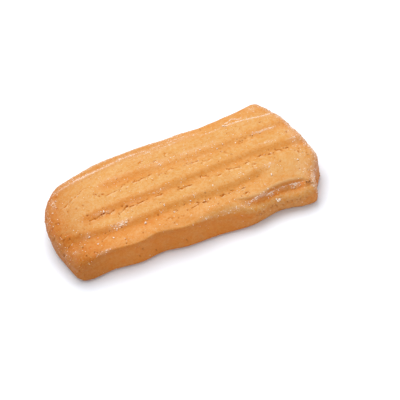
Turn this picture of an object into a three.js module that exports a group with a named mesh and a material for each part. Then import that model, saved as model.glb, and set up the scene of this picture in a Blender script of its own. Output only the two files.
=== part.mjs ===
import * as THREE from "three";

// Shortbread biscuit: one baked bar with lengthwise ridges. Millimetres, +Z up, length along X.

// Overall heights
const CROWN_HEIGHT = 13.2;       // underside to the top of the crown
const NEAR_SIDE_HEIGHT = 10.2;   // top of the side wall, -Y side
const FAR_SIDE_HEIGHT = 9.4;     // top of the side wall, +Y side
const END_DROP = 1.2;            // how far the crown falls toward both ends
const BEND = 2.2;                // exponent of the crown across the width

// Plan outline at the widest level, counter-clockwise from the corner at -X, -Y
const OUTLINE = [
  [-37.7, -16.4], [-33.5, -17.1], [-27.8, -16.7], [-18.5, -17.7], [-11.3, -17.0], [-3.5, -18.3],
  [7.0, -18.5], [17.5, -19.8], [27.0, -18.6], [34.8, -20.0], [38.6, -19.6], [39.9, -15.4],
  [43.0, -9.9], [40.6, 0.9], [38.2, 8.4], [35.1, 14.8], [32.2, 18.9], [27.4, 18.6],
  [16.9, 17.3], [4.1, 17.9], [-9.6, 18.9], [-23.2, 18.0], [-31.9, 15.7], [-36.9, 13.7],
  [-41.1, 8.0], [-42.8, -0.1], [-41.3, -7.9],
];
const HALF_LENGTH = 42.5;
const HALF_WIDTH = 19.2;
const CORNERS = [0, 10, 16, 23]; // outline points at the ends of the near, right, far, left sides

// Edge roundings
const SHOULDER_NEAR = 0.4;
const SHOULDER_NEAR_SOFT = 3.8;  // how much softer it gets on the +X half, before the roll
const SHOULDER_FAR = 3.4;
const SHOULDER_LEFT = 4.2;
const SHOULDER_RIGHT = 1.8;
const NEAR_LEAN = 0.6;           // how far the near wall leans in from its foot to its top
const BOTTOM_ROUND = 1.5;
const CORNER_EASE = 3.2;         // length along the rim over which the roundings change

// Lengthwise grooves: y at x = -34, 0 and 34, a slow wave along the groove, the depth, where the
// groove starts and ends, the width of its gentle side (-Y) and of its steep side (+Y)
const GROOVES = [
  { y: [-9.9, -11.4, -9.7], wave: 0.5, length: 36, peak: -2, depth: 0.95, from: -42, to: 26,
    gentle: 4.6, steep: 2.5 },
  { y: [-4.9, -3.8, -3.9], wave: 0.3, length: 40, peak: 20, depth: 0.95, from: -31, to: 46,
    gentle: 4.6, steep: 2.6 },
  { y: [4.3, 3.9, 3.3], wave: 0.6, length: 54, peak: -14, depth: 0.8, from: -23, to: 46,
    gentle: 4.6, steep: 2.9 },
  { y: [12.4, 14.1, 11.8], wave: 0.5, length: 48, peak: -12, depth: 0.45, from: -40, to: 46,
    gentle: 2.2, steep: 1.8 },
];

// Tears in the crust along two of the grooves; column is the grid column that follows each one
const TEARS = [
  { y: [-4.6, -4.9, -5.2], wave: 0.45, length: 36, peak: 26, depth: 0.42, from: -31, to: 38,
    column: -0.26 },
  { y: [1.6, 2.7, 1.8], wave: 0.6, length: 34, peak: -10, depth: 0.42, from: -30, to: 22,
    column: 0.12 },
];
const TEAR_HALF_WIDTH = 0.4;
const TEAR_BREAK = 8;            // a tear opens and closes once over this length

// Low roll along the -Y side: only on the +X half, below a creased edge
const ROLL_FROM = 10;            // x where the roll starts
const ROLL_FULL = 24;            // x where it is fully formed
const ROLL_FADE = 32;            // x where it starts to narrow toward the end
const ROLL_INSET = 1.95;         // from the outline in to the crease
const ROLL_SWELL = 1.6;          // how much wider the roll is where it is widest
const ROLL_SWELL_AT = 34;        // x of the widest place
const ROLL_SWELL_LENGTH = 7;     // how quickly it gets there
const ROLL_ARC_REACH = 1.4;      // half width of its arc, as a share of the way in to the crease
const ROLL_CREASE_HEIGHT = 8.5;
const ROLL_FIRST_TURN = 0.3;     // how far past its top the arc starts, radians
const ROLL_CLOSES = 33;          // x where the crease starts to close
const ROLL_CLOSED = 39;          // and where it is closed
const ROLL_CREST_HEIGHT = 8.6;
const ROLL_WIDEST_HEIGHT = 5.6;
const ROLL_FLANK = 0.6;          // width of the steep flank above the crease

// Slumped corner at -X, -Y
const SLUMP = 1.1;               // how much lower it lies
const SLUMP_AT = [-41, -17];
const SLUMP_SIZE = [9, 7];
const SLUMP_ROUND = 1.6;         // how much softer the near shoulder gets there

// Mesh grid of the crown, and the rows down the sides
const ALONG = 60;
const ACROSS = [
  -1, -0.965, -0.93, -0.89, -0.83, -0.76, -0.69, -0.62, -0.56, -0.5, -0.44, -0.38, -0.32,
  -0.28, -0.26, -0.24, -0.18, -0.12, -0.05, 0.03, 0.1, 0.12, 0.14, 0.16, 0.21, 0.27, 0.33,
  0.4, 0.48, 0.56, 0.64, 0.7, 0.76, 0.82, 0.88, 0.94, 1,
];
const ARC_ROWS = 4;
const WALL_ROWS = 3;
const FOOT_ROWS = 3;

const smooth = (a, b, x) => {
  const t = Math.min(1, Math.max(0, (x - a) / (b - a)));
  return t * t * (3 - 2 * t);
};
const mix = (a, b, t) => a + (b - a) * t;

// y of a groove or tear at x
function lineAt(line, x) {
  const [left, middle, right] = line.y;
  const s = x / 34;
  const bow = middle + ((right - left) / 2) * s + ((right + left) / 2 - middle) * s * s;
  return bow + line.wave * Math.cos((2 * Math.PI * (x - line.peak)) / line.length);
}

// Share of a line's depth at x: it fades in and out over 6 mm
function presence(line, x) {
  return smooth(line.from - 3, line.from + 3, x) * (1 - smooth(line.to - 3, line.to + 3, x));
}

// Points on one side of the outline, at the given shares of its length
const curve = new THREE.CatmullRomCurve3(
  OUTLINE.map(([x, y]) => new THREE.Vector3(x, y, 0)), true, "centripetal");
const FINE = 40;
function sidePoints(from, to, shares) {
  const samples = [];
  for (let k = from * FINE; k <= to * FINE; k += 1) {
    samples.push(curve.getPoint((k / FINE / OUTLINE.length) % 1));
  }
  const run = [0];
  for (let k = 1; k < samples.length; k += 1) {
    run.push(run[k - 1] + samples[k].distanceTo(samples[k - 1]));
  }
  return shares.map((share) => {
    const reached = share * run[run.length - 1];
    const k = Math.max(1, Math.min(run.length - 1, run.findIndex((r) => r >= reached)));
    const t = (reached - run[k - 1]) / (run[k] - run[k - 1]);
    return [mix(samples[k - 1].x, samples[k].x, t), mix(samples[k - 1].y, samples[k].y, t)];
  });
}

// How much of the side roll there is at x: it narrows again toward the end of the biscuit
const roll = (x) => smooth(ROLL_FROM, ROLL_FULL, x) * (1 - 0.6 * smooth(ROLL_FADE, HALF_LENGTH, x));
const fall = (distance, width) => Math.exp(-((distance / width) ** 2));
const creaseShare = (x) => roll(x) * (1 - smooth(ROLL_CLOSES, ROLL_CLOSED, x));
const rollInset = (x) => ROLL_INSET + ROLL_SWELL * fall(x - ROLL_SWELL_AT, ROLL_SWELL_LENGTH);

// Height of the crust over the plan: crown, grooves, tears, slumped corner and slow lumps
function crust(x, y) {
  const across = y / HALF_WIDTH;
  const side = mix(NEAR_SIDE_HEIGHT, FAR_SIDE_HEIGHT, (across + 1) / 2);
  let z = side + (CROWN_HEIGHT - side) * (1 - Math.abs(across) ** BEND);
  z -= END_DROP * Math.abs(x / HALF_LENGTH) ** 6;
  for (const g of GROOVES) {
    const d = y - lineAt(g, x);
    const t = Math.min(1, Math.abs(d) / (d < 0 ? g.gentle : g.steep));
    z -= g.depth * presence(g, x) * 0.5 * (1 + Math.cos(Math.PI * t));
  }
  for (const c of TEARS) {
    const t = Math.max(0, 1 - Math.abs(y - lineAt(c, x)) / TEAR_HALF_WIDTH);
    const broken = 0.55 + 0.45 * Math.sin((2 * Math.PI * x) / TEAR_BREAK + c.wave * 9);
    z -= c.depth * presence(c, x) * broken * t;
  }
  z -= SLUMP * fall(Math.hypot((x - SLUMP_AT[0]) / SLUMP_SIZE[0],
    (y - SLUMP_AT[1]) / SLUMP_SIZE[1]), 1);
  z += 0.1 * Math.sin(x / 5.3 + 0.8) * Math.cos(y / 3.7 + 0.4);
  z += 0.06 * Math.sin(x / 2.1 - y / 4.4 + 1.9);
  return z;
}

const positions = [];
const indices = [];
const point = (x, y, z) => positions.push(x, y, z) / 3 - 1;
const quad = (a, b, c, d) => indices.push(a, b, c, a, c, d);

// Rim of the grid, counter-clockwise from the near left corner
const last = ACROSS.length - 1;
const along = Array.from({ length: ALONG + 1 }, (_, i) => (
  Math.sin(mix(-1.25, 1.25, i / ALONG)) / Math.sin(1.25)));
const rim = [];
for (let i = 0; i < ALONG; i += 1) rim.push([i, 0]);
for (let j = 0; j < last; j += 1) rim.push([ALONG, j]);
for (let i = ALONG; i > 0; i -= 1) rim.push([i, last]);
for (let j = last; j > 0; j -= 1) rim.push([0, j]);
const count = rim.length;
const rimAt = new Map(rim.map(([i, j], k) => [`${i},${j}`, k]));
const forward = (list) => list.map((a) => (1 + a) / 2);
const backward = (list) => forward(list).reverse().map((a) => 1 - a);
const edge = [forward(along), forward(ACROSS), backward(along), backward(ACROSS)].flatMap(
  (shares, k) => sidePoints(CORNERS[k], k < 3 ? CORNERS[k + 1] : OUTLINE.length + CORNERS[0],
    shares).slice(0, -1));
const around = (k) => (k + count) % count;
const stretch = edge.map(([x, y], k) => Math.hypot(edge[around(k + 1)][0] - x,
  edge[around(k + 1)][1] - y));
const station = stretch.map((_, k) => stretch.slice(0, k).reduce((sum, l) => sum + l, 0));
const girth = stretch.reduce((sum, l) => sum + l, 0);

// Outward normals of the outline
const facing = edge.map((_, k) => {
  const [ax, ay] = edge[around(k - 1)];
  const [bx, by] = edge[around(k + 1)];
  const l = Math.hypot(bx - ax, by - ay);
  return [(by - ay) / l, (ax - bx) / l];
});

// How far the rim of the crown lies inside the outline: the shoulder's radius and the wall's lean,
// or the roll's width
const toward = (a) => Math.max(0, a) ** 2;
const shoulder = edge.map(([x], k) => {
  const [nx, ny] = facing[k];
  return toward(nx) * SHOULDER_RIGHT + toward(-nx) * SHOULDER_LEFT + toward(ny) * SHOULDER_FAR
    + toward(-ny) * (SHOULDER_NEAR + SLUMP_ROUND * smooth(-26, -36, x)
      + SHOULDER_NEAR_SOFT * smooth(-4, 14, x));
});
const rollShare = edge.map(([x, y], k) => (rim[k][1] > last / 2 ? 0
  : roll(x) * fall(Math.max(0, y - edge[rimAt.get(`${ALONG},0`)][1]) * (rim[k][1] > 0),
    2 * ROLL_FLANK)));
const lean = facing.map(([, ny]) => toward(-ny) * NEAR_LEAN);
const wanted = shoulder.map((r, k) => mix(r + lean[k], rollInset(edge[k][0]),
  rollShare[k]));

// Eased along the rim, so that it shrinks and turns gently at the corners
const eased = edge.map((_, k) => {
  let [x, y, sum] = [0, 0, 0];
  edge.forEach((__, m) => {
    const apart = Math.abs(station[k] - station[m]);
    const w = fall(Math.min(apart, girth - apart), CORNER_EASE) * stretch[m];
    x += w * facing[m][0] * wanted[m];
    y += w * facing[m][1] * wanted[m];
    sum += w;
  });
  return [x / sum, y / sum];
});
const rimOffset = eased.map(([x, y]) => -Math.hypot(x, y));
const normal = eased.map(([x, y], k) => [-x / rimOffset[k], -y / rimOffset[k]]);
const scale = rimOffset.map((offset, k) => -offset / wanted[k]);
const place = (k, offset) => [
  edge[k][0] + normal[k][0] * offset, edge[k][1] + normal[k][1] * offset,
];

// Height of the top: the crust, dropping into the crease above the roll
const creaseDrop = NEAR_SIDE_HEIGHT - ROLL_CREASE_HEIGHT;
const creaseY = along.map((_, i) => place(rimAt.get(`${i},0`), rimOffset[rimAt.get(`${i},0`)])[1]);
const height = (x, y, i) => (
  crust(x, y) - creaseShare(x) * creaseDrop * fall(y - creaseY[i], ROLL_FLANK));

// Crown: a sheet spanned between the four sides of its rim, with two columns on the tears
const rimPoint = (i, j) => {
  const k = rimAt.get(`${i},${j}`);
  return place(k, rimOffset[k]);
};
const spanned = (i, j) => {
  const [a, b] = [(1 + along[i]) / 2, (1 + ACROSS[j]) / 2];
  const [nearRim, farRim] = [rimPoint(i, 0), rimPoint(i, last)];
  const [leftRim, rightRim] = [rimPoint(0, j), rimPoint(ALONG, j)];
  const [near0, near1] = [rimPoint(0, 0), rimPoint(ALONG, 0)];
  const [far0, far1] = [rimPoint(0, last), rimPoint(ALONG, last)];
  return [0, 1].map((c) => mix(leftRim[c], rightRim[c], a) + mix(nearRim[c], farRim[c], b)
    - mix(mix(near0[c], near1[c], a), mix(far0[c], far1[c], a), b));
};
const crown = along.map((u, i) => {
  const pulls = TEARS.map((tear) => {
    const [x, y] = spanned(i, ACROSS.indexOf(tear.column));
    return (lineAt(tear, x) - y) * (1 - u ** 8);
  });
  return ACROSS.map((v, j) => {
    const [x, bare] = spanned(i, j);
    const y = TEARS.reduce((sum, tear, t) => sum
      + pulls[t] * Math.max(0, 1 - Math.abs(v - tear.column) / 0.3), bare);
    return point(x, y, height(x, y, i));
  });
});
for (let i = 0; i < ALONG; i += 1) {
  for (let j = 0; j < last; j += 1) {
    quad(crown[i][j], crown[i + 1][j], crown[i + 1][j + 1], crown[i][j + 1]);
  }
}

// Side profile below the rim: [offset from the outline, height] for each row
const UPPER = ARC_ROWS + 1;
const ROWS = ARC_ROWS + WALL_ROWS + FOOT_ROWS;
function profile(k, j) {
  const r = shoulder[k] * scale[k];
  const inset = lean[k] * scale[k];
  const quarter = (t) => (Math.PI / 2) * t;
  const foot = (t, top) => [-BOTTOM_ROUND * (1 - Math.cos(quarter(t))),
    top * (1 - Math.sin(quarter(t)))];
  let plain;
  if (j < UPPER) {
    const a = quarter(j / ARC_ROWS);
    const offset = -inset - r + r * Math.sin(a);
    plain = [offset, height(...place(k, offset), rim[k][0]) - r + r * Math.cos(a)];
  } else if (j < ARC_ROWS + WALL_ROWS) {
    const down = (j - ARC_ROWS) / WALL_ROWS;
    plain = [mix(-inset, 0, down),
      mix(height(...place(k, -inset), rim[k][0]) - r, BOTTOM_ROUND, down)];
  } else {
    plain = foot((j - ARC_ROWS - WALL_ROWS) / FOOT_ROWS, BOTTOM_ROUND);
  }
  const a = mix(ROLL_FIRST_TURN, Math.PI / 2, j / UPPER);
  const crest = ROLL_CREST_HEIGHT - END_DROP * Math.abs(edge[k][0] / HALF_LENGTH) ** 6;
  const rolled = j <= UPPER
    ? [scale[k] * ROLL_ARC_REACH * rollInset(edge[k][0]) * (Math.sin(a) - 1),
      mix(ROLL_WIDEST_HEIGHT, crest, Math.cos(a))]
    : foot((j - UPPER) / (ROWS - UPPER), ROLL_WIDEST_HEIGHT);
  return [0, 1].map((c) => mix(plain[c], rolled[c], rollShare[k]));
}

// Sides, then the flat underside
let row = rim.map(([i, j]) => crown[i][j]);
for (let j = 1; j <= ROWS; j += 1) {
  const next = rim.map((_, k) => {
    const [offset, z] = profile(k, j);
    return point(...place(k, offset), z);
  });
  row.forEach((_, k) => quad(row[k], next[k], next[around(k + 1)], row[around(k + 1)]));
  row = next;
}
const centre = point(0, 0, 0);
row.forEach((_, k) => indices.push(row[k], centre, row[around(k + 1)]));

const geometry = new THREE.BufferGeometry();
geometry.setAttribute("position", new THREE.Float32BufferAttribute(positions, 3));
geometry.setIndex(indices);

// Origin at the middle of the underside
geometry.computeBoundingBox();
const box = geometry.boundingBox;
geometry.translate(-(box.min.x + box.max.x) / 2, -(box.min.y + box.max.y) / 2, -box.min.z);
geometry.computeVertexNormals();

const baked = new THREE.MeshStandardMaterial({ color: 0xe2a35c, roughness: 0.8, metalness: 0 });
const biscuit = new THREE.Mesh(geometry, baked);
biscuit.name = "biscuit";

const part = new THREE.Group();
part.name = "shortbread_biscuit";
part.add(biscuit);
export default part;
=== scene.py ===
"""Shortbread biscuit: its baked surface, flour and crumbs round the packed frame, on a pale stage.

Sizes are worked out in millimetres and put into the meshes in metres. +Z is up, +X runs along
the biscuit and -Y is its near side.
"""

import itertools
import math
from collections import namedtuple
from types import SimpleNamespace

import bpy
import numpy as np
from bpy.props import FloatProperty, FloatVectorProperty, IntProperty, PointerProperty
from mathutils import Matrix, Vector


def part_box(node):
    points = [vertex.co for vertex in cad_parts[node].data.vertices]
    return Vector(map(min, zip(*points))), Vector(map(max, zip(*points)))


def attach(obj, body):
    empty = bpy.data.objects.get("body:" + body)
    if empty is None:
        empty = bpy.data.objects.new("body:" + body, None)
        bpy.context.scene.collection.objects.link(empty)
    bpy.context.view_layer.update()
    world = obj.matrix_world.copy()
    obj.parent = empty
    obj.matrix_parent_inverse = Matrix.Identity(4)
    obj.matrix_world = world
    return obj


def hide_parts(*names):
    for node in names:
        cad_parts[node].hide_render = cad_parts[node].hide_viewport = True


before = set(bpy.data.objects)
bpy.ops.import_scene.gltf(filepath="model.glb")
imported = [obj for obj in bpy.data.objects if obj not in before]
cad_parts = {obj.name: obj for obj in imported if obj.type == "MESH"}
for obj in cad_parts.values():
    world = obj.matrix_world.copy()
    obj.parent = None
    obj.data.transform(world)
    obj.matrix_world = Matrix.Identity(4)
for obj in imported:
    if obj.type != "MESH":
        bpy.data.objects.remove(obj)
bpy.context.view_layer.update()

bl_info = {
    "name": "Shortbread Biscuit",
    "version": (1, 0, 0),
    "blender": (4, 5, 0),
    "location": "View3D > Sidebar > Biscuit",
    "description": "Builds a ridged shortbread biscuit with torn crust, pores, flour and crumbs",
    "category": "Add Mesh",
}

MM = 0.001
BODY = "root"
NODE = "biscuit"

# ---------------------------------------------------------------------------------------------
# The form of the biscuit: plan outline, grooves, tears, pores and flour, all in millimetres
# ---------------------------------------------------------------------------------------------

# Plan outline at the widest level, counter-clockwise from the corner at -X, -Y
OUTLINE = np.array([
    [-37.7, -16.4], [-33.5, -17.1], [-27.8, -16.7], [-18.5, -17.7], [-11.3, -17.0], [-3.5, -18.3],
    [7.0, -18.5], [17.5, -19.8], [27.0, -18.6], [34.8, -20.0], [38.6, -19.6], [39.9, -15.4],
    [43.0, -9.9], [40.6, 0.9], [38.2, 8.4], [35.1, 14.8], [32.2, 18.9], [27.4, 18.6],
    [16.9, 17.3], [4.1, 17.9], [-9.6, 18.9], [-23.2, 18.0], [-31.9, 15.7], [-36.9, 13.7],
    [-41.1, 8.0], [-42.8, -0.1], [-41.3, -7.9],
])
CORNERS = (0, 10, 16, 23)  # outline points at the ends of the near, right, far and left sides
HALF_LENGTH = 42.5
HALF_WIDTH = 19.2
LINE_REACH = 34.0  # a line's first and last y are given this far either side of the middle

# A lengthwise line: y at -LINE_REACH, 0 and LINE_REACH, and a slow wave along it
Line = namedtuple("Line", "y wave length peak")

# A groove drops gently toward its foot from the -Y side and rises steeply on the +Y side
Groove = namedtuple("Groove", "line depth start end gentle steep")
GROOVES = (
    Groove(Line((-9.9, -11.4, -9.7), 0.5, 36, -2), 0.95, -42, 26, 4.6, 2.5),
    Groove(Line((-4.9, -3.8, -3.9), 0.3, 40, 20), 0.95, -31, 46, 4.6, 2.6),
    Groove(Line((4.3, 3.9, 3.3), 0.6, 54, -14), 0.8, -23, 46, 4.6, 2.9),
    Groove(Line((12.4, 14.1, 11.8), 0.5, 48, -12), 0.45, -40, 46, 2.2, 1.8),
)

# Where the crust has torn, a column of the mesh is drawn onto the tear's line
Tear = namedtuple("Tear", "line column")
TEARS = (
    Tear(Line((-3.7, -4.4, -4.1), 0.25, 21, -8), -0.24),
    Tear(Line((2.2, 2.9, 1.2), 0.7, 23, -12), 0.14),
    Tear(Line((-11.2, -11.8, -12.1), 0.25, 15, 3), -0.61),
)

# Slits of the tears: x and y of both ends, and how wide each gapes
SLITS = (
    # along the crown's far tear
    (-22.6, 1.8, -17.2, 2.6, 0.9), (-17.4, 2.7, -15.7, 3.7, 0.9), (-12.9, 3.4, -10.8, 3.2, 1.0),
    (-11.0, 3.2, -9.0, 3.9, 1.0), (-8.3, 3.5, -6.3, 4.3, 0.9), (-4.4, 3.1, -3.5, 3.0, 0.7),
    (-1.7, 2.7, 0.4, 3.6, 1.0), (3.9, 2.5, 6.0, 2.5, 0.9), (6.1, 2.5, 9.0, 2.4, 1.1),
    (9.4, 1.4, 10.9, 0.8, 1.0), (10.8, 0.9, 12.4, 1.8, 1.0), (16.8, 2.0, 18.5, 0.5, 0.7),
    (24.6, 3.9, 26.8, 4.1, 0.6),
    # along the crown's near tear
    (-29.6, -4.1, -27.2, -4.4, 0.8), (-27.3, -4.3, -25.6, -3.9, 0.7), (-25.9, -3.9, -23.8, -3.6, 0.9),
    (-23.0, -4.4, -21.1, -3.6, 1.0), (-20.3, -6.9, -20.2, -5.5, 0.7), (-20.2, -5.6, -18.4, -4.6, 0.9),
    (-18.3, -4.5, -17.0, -3.9, 1.2), (-16.6, -4.6, -14.2, -4.4, 0.8), (-14.3, -4.4, -11.0, -4.1, 0.8),
    (-8.3, -4.4, -5.3, -4.3, 1.1), (-7.2, -6.9, -6.1, -7.8, 0.7), (-0.3, -4.7, 1.4, -5.1, 1.1),
    (1.2, -5.1, 3.6, -4.9, 1.1), (6.7, -3.2, 9.6, -4.2, 0.7), (11.8, -5.6, 13.3, -5.2, 1.2),
    (15.3, -4.0, 16.1, -4.9, 0.9), (16.0, -4.9, 17.4, -4.8, 1.0), (17.3, -4.9, 19.6, -5.0, 1.1),
    (21.5, -4.8, 22.8, -4.4, 1.5), (23.1, -6.5, 24.4, -6.3, 1.3), (25.5, -4.0, 28.0, -3.7, 0.9),
    (28.9, -4.5, 30.9, -4.9, 0.7), (31.8, -3.7, 33.8, -4.3, 0.9), (34.5, -4.3, 35.7, -4.5, 0.8),
    (37.7, -6.3, 38.2, -7.7, 1.0),
    # along the near groove
    (0.6, -12.3, 4.4, -11.7, 0.7), (5.2, -11.8, 6.3, -12.0, 0.8), (10.4, -12.1, 12.1, -11.9, 1.1),
    (13.9, -11.5, 15.1, -11.8, 0.8), (16.9, -12.5, 18.5, -12.2, 1.4), (17.6, -14.5, 18.6, -14.1, 1.3),
    (-7.1, -13.1, -5.9, -13.3, 0.8), (-4.4, -11.3, -3.5, -11.3, 1.0), (3.4, -12.2, 3.6, -11.2, 0.6),
    (-28.3, -11.7, -25.0, -10.6, 0.6),
    # far groove, left end and near left edge
    (-9.0, 9.5, -7.7, 9.8, 1.2), (-0.6, 9.0, 0.3, 9.5, 1.1), (-4.6, 7.9, -3.4, 8.1, 0.8),
    (-36.8, 2.7, -33.0, 4.7, 0.8), (-33.2, 4.6, -29.0, 6.8, 0.8), (-29.2, 6.6, -27.0, 7.8, 0.7),
    (-33.8, -15.6, -27.2, -15.9, 0.7), (-37.9, 8.6, -38.6, 4.4, 0.7),
)

# Larger pores of the top: x, y and radius
TOP_PORES = (
    (-22.7, 3.1, 0.46), (-23.8, 2.7, 0.34), (-24.9, 3.5, 0.40), (-25.4, 4.2, 0.30),
    (-15.3, 1.9, 0.32), (-31.9, 1.3, 0.30), (-29.6, 1.4, 0.28), (-34.8, 1.6, 0.24),
    (-38.9, -1.3, 0.36), (-29.4, -2.6, 0.40), (-29.8, -5.5, 0.28), (-32.0, -6.6, 0.24),
    (-17.1, -4.0, 0.46), (-18.4, -3.5, 0.32), (-15.6, -14.6, 0.34), (-21.3, -14.7, 0.28),
    (-9.3, -10.8, 0.34), (-0.5, -12.5, 0.30), (-3.9, -14.1, 0.26), (-2.1, -14.1, 0.26),
    (-5.7, -15.4, 0.24), (-2.4, 2.1, 0.36), (-6.9, 1.3, 0.34), (-14.9, 9.1, 0.24),
    (20.0, 8.4, 0.30), (31.0, 8.0, 0.30), (16.3, 2.7, 0.30), (23.4, 3.3, 0.30), (22.8, 3.8, 0.26),
    (14.0, -1.0, 0.28), (29.4, -4.4, 0.30), (37.4, -6.3, 0.30), (7.2, -11.5, 0.26),
    (8.8, -14.3, 0.26), (16.4, -14.7, 0.28), (23.3, -10.4, 0.26), (-0.4, -4.2, 0.34),
)

# Larger pores of the near side: x, height and radius
SIDE_PORES = (
    (-17.4, 6.8, 0.36), (-3.7, 3.7, 0.26), (23.8, 7.4, 0.36), (25.6, 6.6, 0.30), (29.1, 7.2, 0.26),
    (32.2, 7.0, 0.28), (33.2, 8.0, 0.26), (27.6, 4.6, 0.30), (25.9, 5.0, 0.26), (21.4, 5.4, 0.32),
    (30.6, 5.6, 0.24), (35.2, 6.2, 0.26), (18.9, 6.6, 0.24),
)

# Flour caught along lines: the line, half width, and spans with how much lies there
FlourLine = namedtuple("FlourLine", "line half_width spans")
FLOUR_LINES = (
    FlourLine(Line((11.5, 14.3, 7.4), 0.25, 17, -12), 0.6,
              ((-37, -30, 0.75), (-31, -21, 1.0), (-22, -8, 0.9), (-9, 8, 0.6))),
    FlourLine(Line((13.0, 13.0, 13.0), 0.45, 18, 8.5), 0.7, ((-10, -3, 0.45), (-3, 12, 0.5))),
    FlourLine(Line((14.0, 12.6, 10.6), 0.45, 18, 24.5), 0.42,
              ((12, 20, 0.55), (20, 28, 0.95), (27, 36.5, 1.0))),
    FlourLine(Line((13.9, 13.9, 13.0), 0.45, 4.2, 23.6), 0.34, ((20.6, 27, 0.95),)),
    FlourLine(Line((4.8, 4.8, 4.7), 0.15, 3.6, 28), 0.34, ((26.8, 35, 1.0),)),
    FlourLine(Line((6.4, 7.2, 5.0), 0.4, 44, -16), 0.9,
              ((-22, -12, 0.25), (-10, 4, 0.4), (2, 16, 0.35))),
    FlourLine(Line((-17.7, -17.7, -15.2), 0.3, 24, 4), 0.34,
              ((2, 8, 0.45), (8, 13, 0.65), (12, 24, 0.85))),
    FlourLine(Line((-9.3, -9.2, -8.2), 0.3, 30, 0), 0.7,
              ((-34, -29, 0.3), (0, 4, 0.3), (26, 30, 0.4))),
    FlourLine(Line((-3.0, -3.2, -3.2), 0.3, 30, -6), 0.5,
              ((-28, -22, 0.5), (-17, -12, 0.4), (-8, -3, 0.3))),
)

# Flour in patches on the top: x, y, half length, half width and how much
FLOUR_PATCHES = (
    (-21.0, -9.3, 3.4, 0.8, 0.85), (-31.5, -8.8, 1.0, 0.6, 0.6), (30.6, -0.4, 2.8, 0.6, 0.7),
    (-28.0, -15.6, 2.8, 0.5, 0.7), (-36.7, -12.3, 1.2, 0.8, 0.5), (-39.9, -10.4, 0.5, 1.6, 0.5),
    (-37.9, 6.6, 0.5, 2.6, 1.0), (-36.5, 10.2, 1.6, 0.8, 0.45), (-38.6, 7.6, 1.4, 4.0, 0.3),
    (38.6, -1.5, 1.6, 5.5, 0.45), (37.5, -13.5, 2.6, 3.6, 0.4), (30.5, 15.4, 1.6, 1.6, 0.5),
    (-5.7, 11.2, 5.0, 1.2, 0.2), (-3.2, 6.4, 1.8, 0.6, 0.6), (8.5, 3.4, 3.4, 1.0, 0.25),
    (38.2, -8.8, 2.2, 0.7, 0.5), (36.3, 12.0, 1.0, 2.4, 0.6),
)

# Single larger flour lumps: x, y and radius
FLOUR_LUMPS = (
    (-13.8, -11.2, 0.44), (27.0, -11.1, 0.40), (36.7, -9.4, 0.40), (-4.4, -11.1, 0.38),
    (-6.7, -8.2, 0.32), (-24.6, -2.8, 0.34), (-5.7, -2.3, 0.30), (27.7, -8.4, 0.28),
    (9.4, -8.0, 0.28), (2.9, -8.6, 0.24), (1.4, -9.5, 0.28), (19.4, -8.1, 0.24),
    (20.5, -9.7, 0.26), (-24.7, -12.0, 0.28), (-29.6, -12.3, 0.28), (15.3, 4.7, 0.26),
    (20.3, 12.0, 0.48), (19.8, 12.6, 0.30), (10.3, 6.3, 0.28), (17.4, 5.5, 0.26),
    (26.6, -17.6, 0.58), (-13.2, -10.1, 0.26), (-8.2, -9.7, 0.28), (-31.4, -8.9, 0.30),
    (-22.8, -9.9, 0.30), (-20.9, -9.2, 0.34), (-19.3, -9.4, 0.28), (-3.2, 6.6, 0.30),
    (23.2, -15.7, 0.30), (24.6, -15.4, 0.26), (18.7, -16.6, 0.26),
)

# Mesh rows: along the biscuit, across it, round the shoulder, down the wall, under the foot,
# and across the underside to its middle
ALONG_CELLS = 290
ACROSS_CELLS = 176
ARC_ROWS = 8
WALL_ROWS = 10
FOOT_ROWS = 5
UNDERSIDE_ROWS = 9

END_CROWDING = 1.25  # the rows along are spaced as a sine of up to this angle
TEAR_PULL = 0.3  # share of the half width over which a tear pulls the columns beside it
FIRST_TURN = 0.3  # angle past its crest at which the side roll's arc starts

# Spans along X over which a form fades in or out
GROOVE_FADE = 3  # half the span at a groove's end
SOFT_SHOULDER = (-4, 14)
SLUMP_FADE = (-36, -26)
CREASE_CLOSES = (33, 39)
ROLL_NARROWS = 0.6  # how much of the roll is lost at the very end
ROLL_SWELL_AT, ROLL_SWELL_REACH = 34, 7  # where the roll is widest, and how far that reaches

# Ovals of the plan: the middle, and the reach along X and Y
SLUMPED_CORNER = ((-41, -17), (9, 7))
NEAR_LEFT_CORNER = ((-37, -16), (8, 6))

# How far a tear's middle wanders, and over what length, and how its width is pinched
TEAR_WANDER = ((0.26, 1.5), (0.12, 0.55))
TEAR_PINCH, TEAR_PINCH_SWING, TEAR_PINCH_LENGTH, TEAR_NARROWEST = 0.72, 0.6, 0.8, 0.42

# Crumbly pits strewn round each slit: how many, how far along it in half lengths, how far aside
# in millimetres, and the smallest and largest radius, which the fine pores have too
PITS_BY_SLIT = 4
PIT_ALONG, PIT_ASIDE = 1.2, 0.35
PIT_RADII = (0.10, 0.22)
FINE_PORE_RADII = (0.12, 0.27)

# How much flour lies along the rims, and where along X it starts in the crease
FAR_VEIL, RIGHT_RIM_FLOUR, LEFT_RIM_FLOUR = 0.6, 0.9, 0.3
CREASE_FLOUR_FROM = (20, 25)

# How much each region of the crust counts toward how rough it is, how far it takes the browned sides'
# colour, and how far it is darkened
# In the colour, the fold, the grooves on the -X half and the wall just under the shoulder are painted
# shade
ROUGHENED = {"left end": 0.75, "right end": 1.0, "near left corner": 0.7, "roll": 0.8,
             "everywhere": 0.15}
BROWNED_AND_SHADED = {"wall": 1.1, "roll wall": -0.75, "fold": 1.0, "left end": 0.9, "near strip": 1.0,
           "left third": 0.45, "right end": 0.5, "near left corner": 0.5, "far strip": 0.1,
           "painted shade in left grooves": 0.4}
DARKENED = {"left end": 1.0, "left tip": 0.5, "near left corner": 0.6, "right end": 0.45,
            "painted shade under shoulder": 0.25, "painted shade in left grooves": 0.15, "fold": 0.6, "far left strip": 0.35}


def smooth(a, b, x):
    """0 below a and 1 above b, and 3t^2 - 2t^3 in between, with t the share of the way."""
    t = np.clip((x - a) / (b - a), 0, 1)
    return t * t * (3 - 2 * t)


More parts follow.
